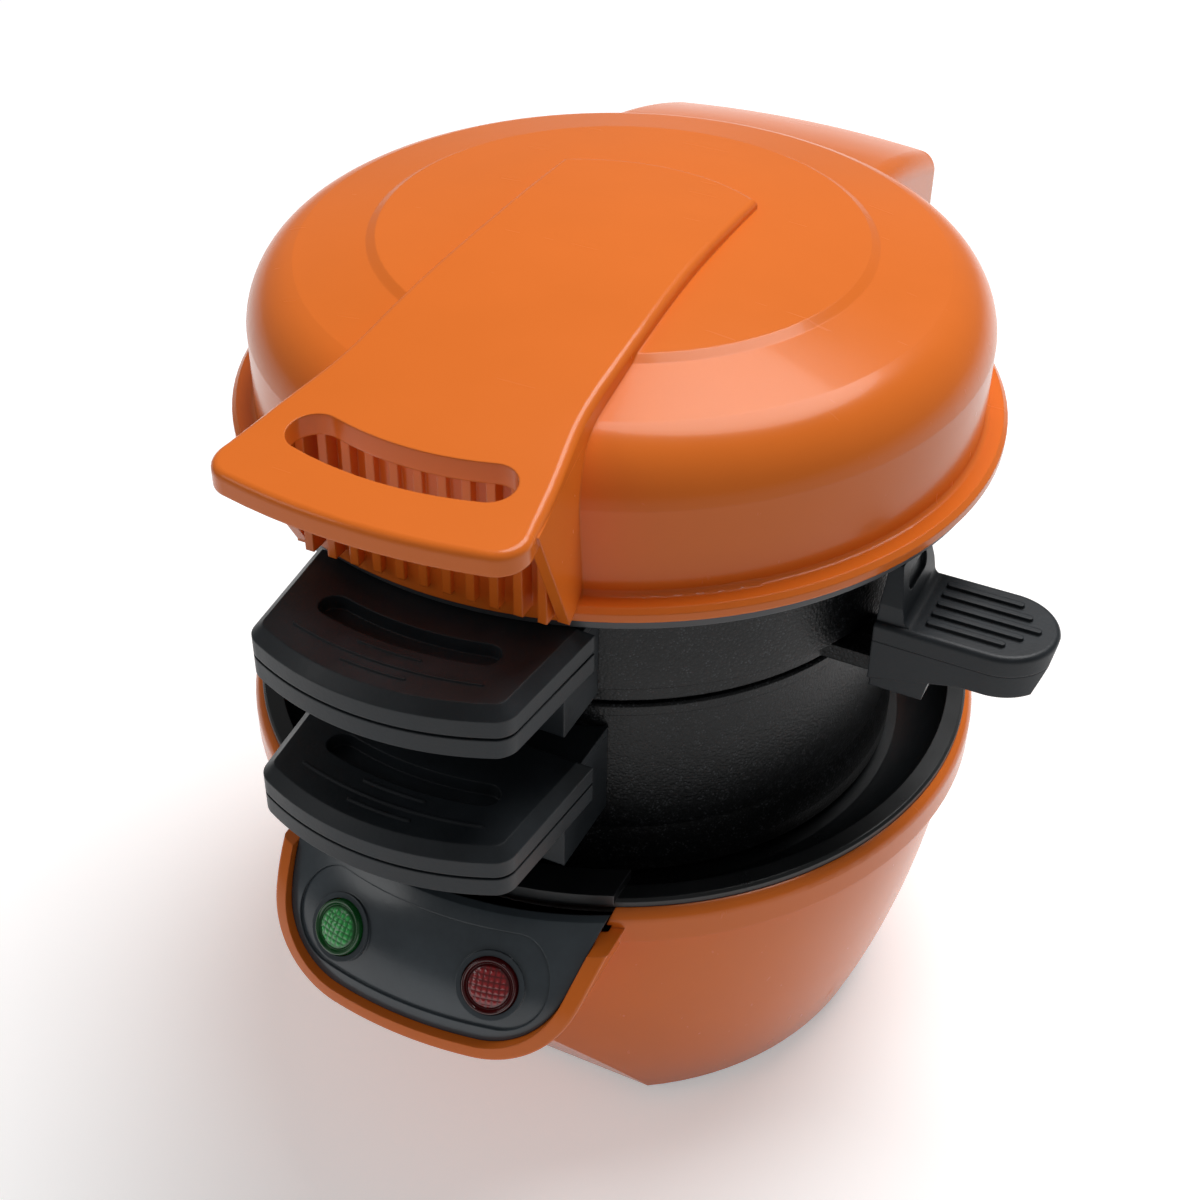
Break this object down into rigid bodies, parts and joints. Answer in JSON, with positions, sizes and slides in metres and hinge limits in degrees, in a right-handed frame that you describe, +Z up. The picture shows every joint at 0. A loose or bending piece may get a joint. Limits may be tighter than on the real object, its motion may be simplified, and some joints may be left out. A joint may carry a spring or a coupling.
{
  "type": "breakfast sandwich maker",
  "caption": "Countertop breakfast sandwich maker: round orange base, stacked cooking rings with a swinging plate, and a hinged domed lid with a long front handle.",
  "frame": {"origin": "on the floor under the middle of the whole object's box, side handle and lid handle included; the rings' upright axis is 8.06 mm towards -X of it", "axes": "+Z up, -Y towards the front handles and the lamps, +Y towards the hinge, +X towards the sliding plate's handle"},
  "size_m": [0.1558, 0.1794, 0.1605],
  "materials": {
    "orange_plastic": "glossy",
    "grey_panel": "satin",
    "dark_grip": "satin, slightly worn",
    "black_coating": "speckled non-stick",
    "dish_coating": "smooth satin",
    "liner_metal": "satin",
    "green_lamp": "translucent",
    "red_lamp": "translucent",
    "bulb_glass": "clear",
    "steel": "brushed",
    "heater_steel": "heat-darkened",
    "foot_rubber": "matt",
    "cover_plastic": "matt",
    "ceramic": "glazed white"
  },
  "bodies": {
    "base": {"base_shell": "orange_plastic", "bottom_cover": "cover_plastic", "rubber_feet": "foot_rubber", "cover_screws": "steel", "control_panel": "grey_panel", "green_lens": "green_lamp", "red_lens": "red_lamp", "neon_bulbs": "bulb_glass", "drip_dish": "dish_coating", "lower_hot_plate": "black_coating", "lower_heater": "heater_steel", "thermostat": "steel", "thermal_fuse": "steel", "terminal_block": "ceramic", "cord_bush": "foot_rubber", "hinge_pin": "steel"},
    "preheat_pin": {"thermostat_pin": "ceramic"},
    "lower_ring": {"bottom_ring": "black_coating", "bottom_handle_top": "dark_grip", "bottom_handle_base": "dark_grip", "bottom_handle_screws": "steel"},
    "upper_ring": {"top_ring": "black_coating", "top_handle_top": "dark_grip", "top_handle_base": "dark_grip", "top_handle_screws": "steel", "plate_pivot": "steel"},
    "sliding_plate": {"cooking_plate": "black_coating", "plate_handle_top": "dark_grip", "plate_handle_base": "dark_grip", "plate_handle_screw": "steel"},
    "lid": {"lid_shell": "orange_plastic", "lid_liner": "liner_metal", "upper_hot_plate": "black_coating", "upper_heater": "heater_steel", "lid_screws": "steel"}
  },
  "joints": [
    {"name": "lower_ring_hinge", "type": "hinge", "parent": "base", "child": "lower_ring", "pos_m": [-0.00806, 0.07875, 0.112], "axis": [1, 0, 0], "range_deg": [-40, 0]},
    {"name": "upper_ring_hinge", "type": "hinge", "parent": "lower_ring", "child": "upper_ring", "pos_m": [-0.00806, 0.07875, 0.112], "axis": [1, 0, 0], "range_deg": [-60, 0]},
    {"name": "lid_hinge", "type": "hinge", "parent": "upper_ring", "child": "lid", "pos_m": [-0.00806, 0.07875, 0.112], "axis": [-1, 0, 0], "range_deg": [0, 100]},
    {"name": "plate_swivel", "type": "hinge", "parent": "upper_ring", "child": "sliding_plate", "pos_m": [0.03684, 0.04565, 0.1008], "axis": [0, 0, 1], "range_deg": [0, 90]},
    {"name": "preheat_pin_slide", "type": "slide", "parent": "base", "child": "preheat_pin", "axis": [0, 0, 1], "range_m": [0, 0.0005]}
  ]
}
